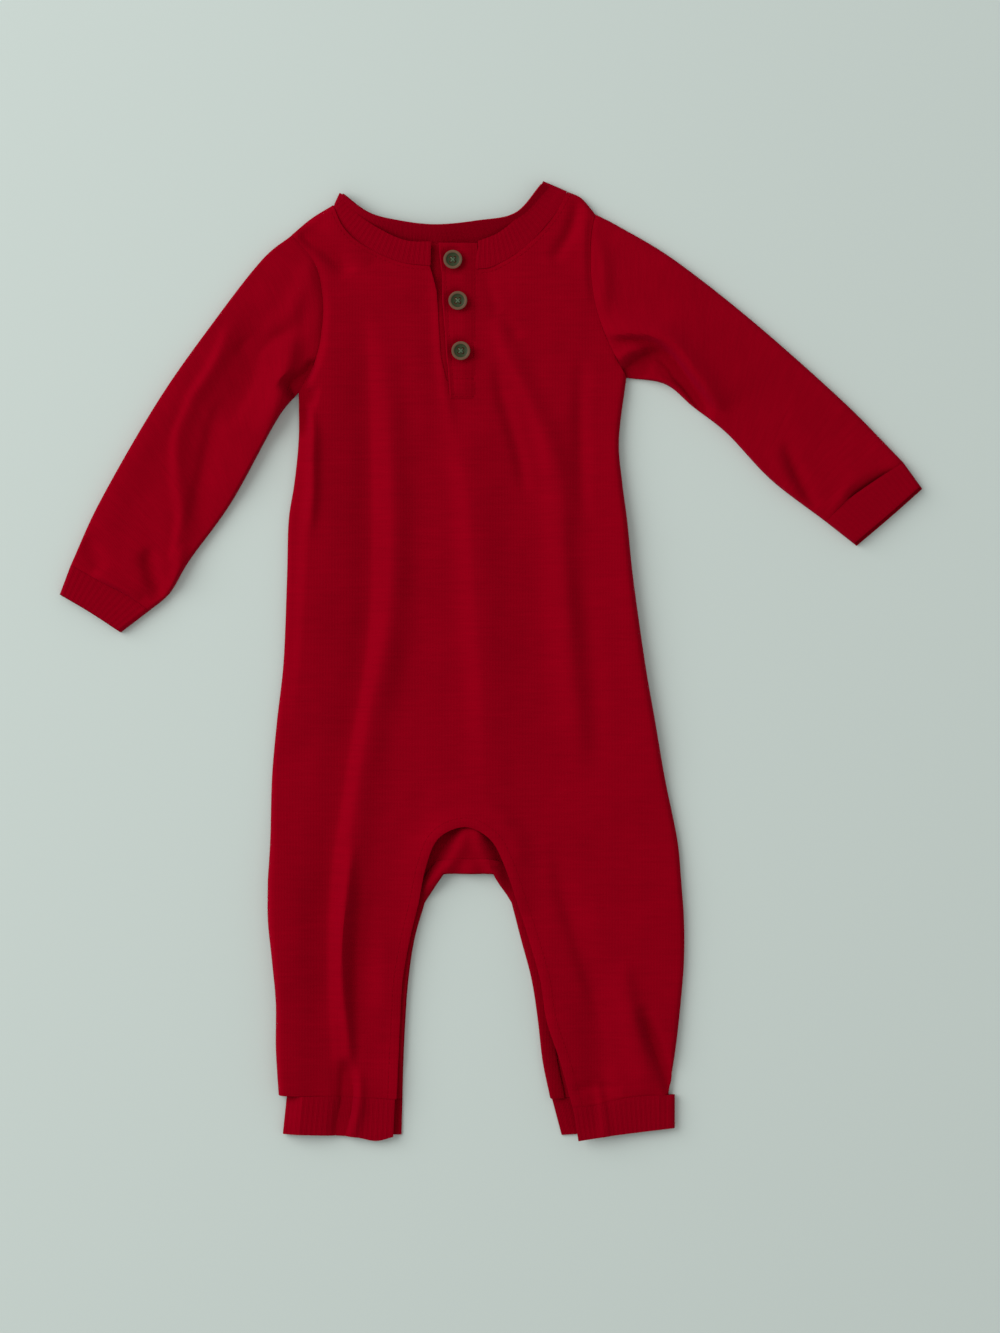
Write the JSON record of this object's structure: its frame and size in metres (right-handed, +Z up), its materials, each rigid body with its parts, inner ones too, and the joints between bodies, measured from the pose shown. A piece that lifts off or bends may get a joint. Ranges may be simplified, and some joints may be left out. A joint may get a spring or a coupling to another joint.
{
  "type": "onesie pajama",
  "caption": "Baby's long-sleeved henley romper with a ribbed crew neckband, a buttoned placket and ribbed cuffs, laid flat on its back with the sleeves spread and the legs apart.",
  "frame": {"origin": "centre of the bounding box in plan, at the height of the surface that the garment lies on", "axes": "+Z up, out of the garment's front; +Y from the legs to the neck; +X to the wearer's left"},
  "size_m": [0.5174, 0.5749, 0.0104],
  "materials": {
    "front_body": "matte slub jersey",
    "back_body": "matte slub jersey",
    "inseam_tape": "matte slub jersey",
    "sleeve_right": "matte slub jersey",
    "sleeve_left": "matte slub jersey",
    "sleeve_cuff_right": "matte rib knit",
    "sleeve_cuff_left": "matte rib knit",
    "leg_cuff_right": "matte rib knit",
    "leg_cuff_left": "matte rib knit",
    "neckband": "matte rib knit",
    "placket_under": "matte slub jersey",
    "placket_upper": "matte slub jersey",
    "button_top": "satin",
    "button_middle": "satin",
    "button_bottom": "satin"
  },
  "bodies": {
    "root": {"front_body": "front_body", "back_body": "back_body", "inseam_tape": "inseam_tape", "sleeve_right": "sleeve_right", "sleeve_left": "sleeve_left", "sleeve_cuff_right": "sleeve_cuff_right", "sleeve_cuff_left": "sleeve_cuff_left", "leg_cuff_right": "leg_cuff_right", "leg_cuff_left": "leg_cuff_left", "neckband": "neckband", "placket_under": "placket_under", "placket_upper": "placket_upper", "button_top": "button_top", "button_middle": "button_middle", "button_bottom": "button_bottom"}
  },
  "joints": []
}
